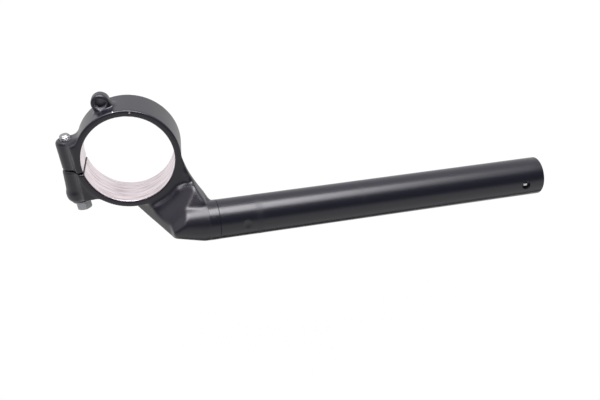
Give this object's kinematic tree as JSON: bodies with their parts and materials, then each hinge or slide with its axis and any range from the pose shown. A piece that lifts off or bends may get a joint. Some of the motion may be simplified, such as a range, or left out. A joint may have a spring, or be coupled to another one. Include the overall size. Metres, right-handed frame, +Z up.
{
  "type": "clip-on handlebar",
  "caption": "Right-hand clip-on motorcycle handlebar: split fork-clamp casting with pinch bolt, locating boss and raised arm, carrying a drooped straight bar tube with an inner weight.",
  "frame": {"origin": "centre of the fork clamp's bore, half way up it", "axes": "+Z up the bore, +X the way the bar runs outboard as seen from above, +Y forwards"},
  "size_m": [0.2819, 0.0826, 0.0538],
  "materials": {
    "casting_paint": "satin black paint on cast aluminium, the bore left bare",
    "tube_paint": "satin black paint",
    "pin_paint": "satin black paint",
    "plated_steel": "zinc plate",
    "plain_steel": "turned steel",
    "rubber": "matt black rubber",
    "spring_steel": "bright spring steel"
  },
  "bodies": {
    "root": {"clamp_casting": "casting_paint", "bar_tube": "tube_paint", "bar_lock_pin": "pin_paint", "pinch_bolt": "plated_steel", "inner_weight": "plain_steel", "weight_rubber_outer": "rubber", "weight_rubber_inner": "rubber", "weight_retainer": "spring_steel"}
  },
  "joints": []
}
